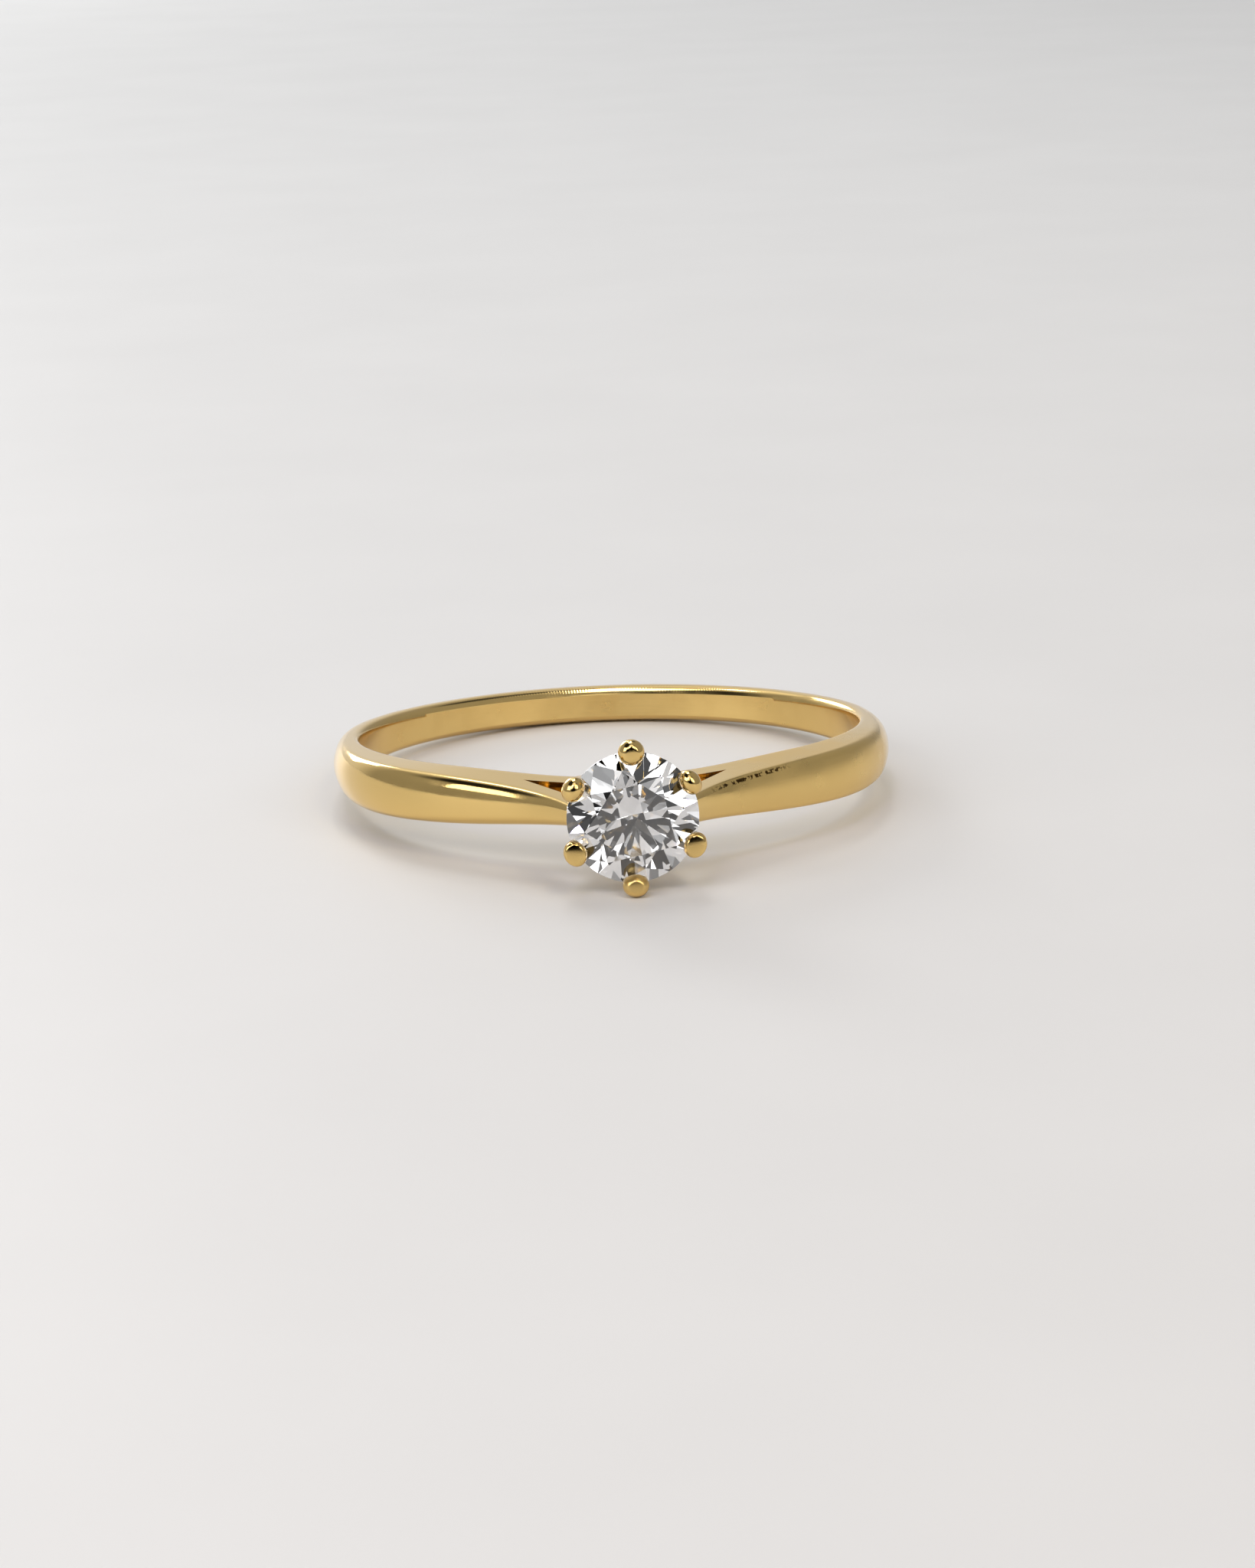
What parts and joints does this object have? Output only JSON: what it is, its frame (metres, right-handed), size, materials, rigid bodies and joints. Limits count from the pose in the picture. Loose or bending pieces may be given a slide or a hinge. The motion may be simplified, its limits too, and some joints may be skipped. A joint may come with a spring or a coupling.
{
  "type": "solitaire engagement ring",
  "caption": "Yellow gold finger ring with a round brilliant diamond held by claws between forked, tapering shoulders.",
  "frame": {"origin": "centre of the finger hole, half-way through the band's width", "axes": "+Z along the finger hole's axis, up when the ring lies on its side; -Y towards the head and stone; +Y towards the back of the shank; +X to the right seen from the stone"},
  "size_m": [0.019, 0.0231, 0.0052],
  "materials": {
    "yellow_gold": "polished",
    "diamond": "polished, faceted"
  },
  "bodies": {
    "root": {"shank": "yellow_gold", "left_shoulder": "yellow_gold", "right_shoulder": "yellow_gold", "bridge": "yellow_gold", "head_base": "yellow_gold", "gallery_ring": "yellow_gold", "claw_top": "yellow_gold", "claw_upper_left": "yellow_gold", "claw_upper_right": "yellow_gold", "claw_lower_left": "yellow_gold", "claw_lower_right": "yellow_gold", "claw_bottom": "yellow_gold", "diamond": "diamond"}
  },
  "joints": []
}
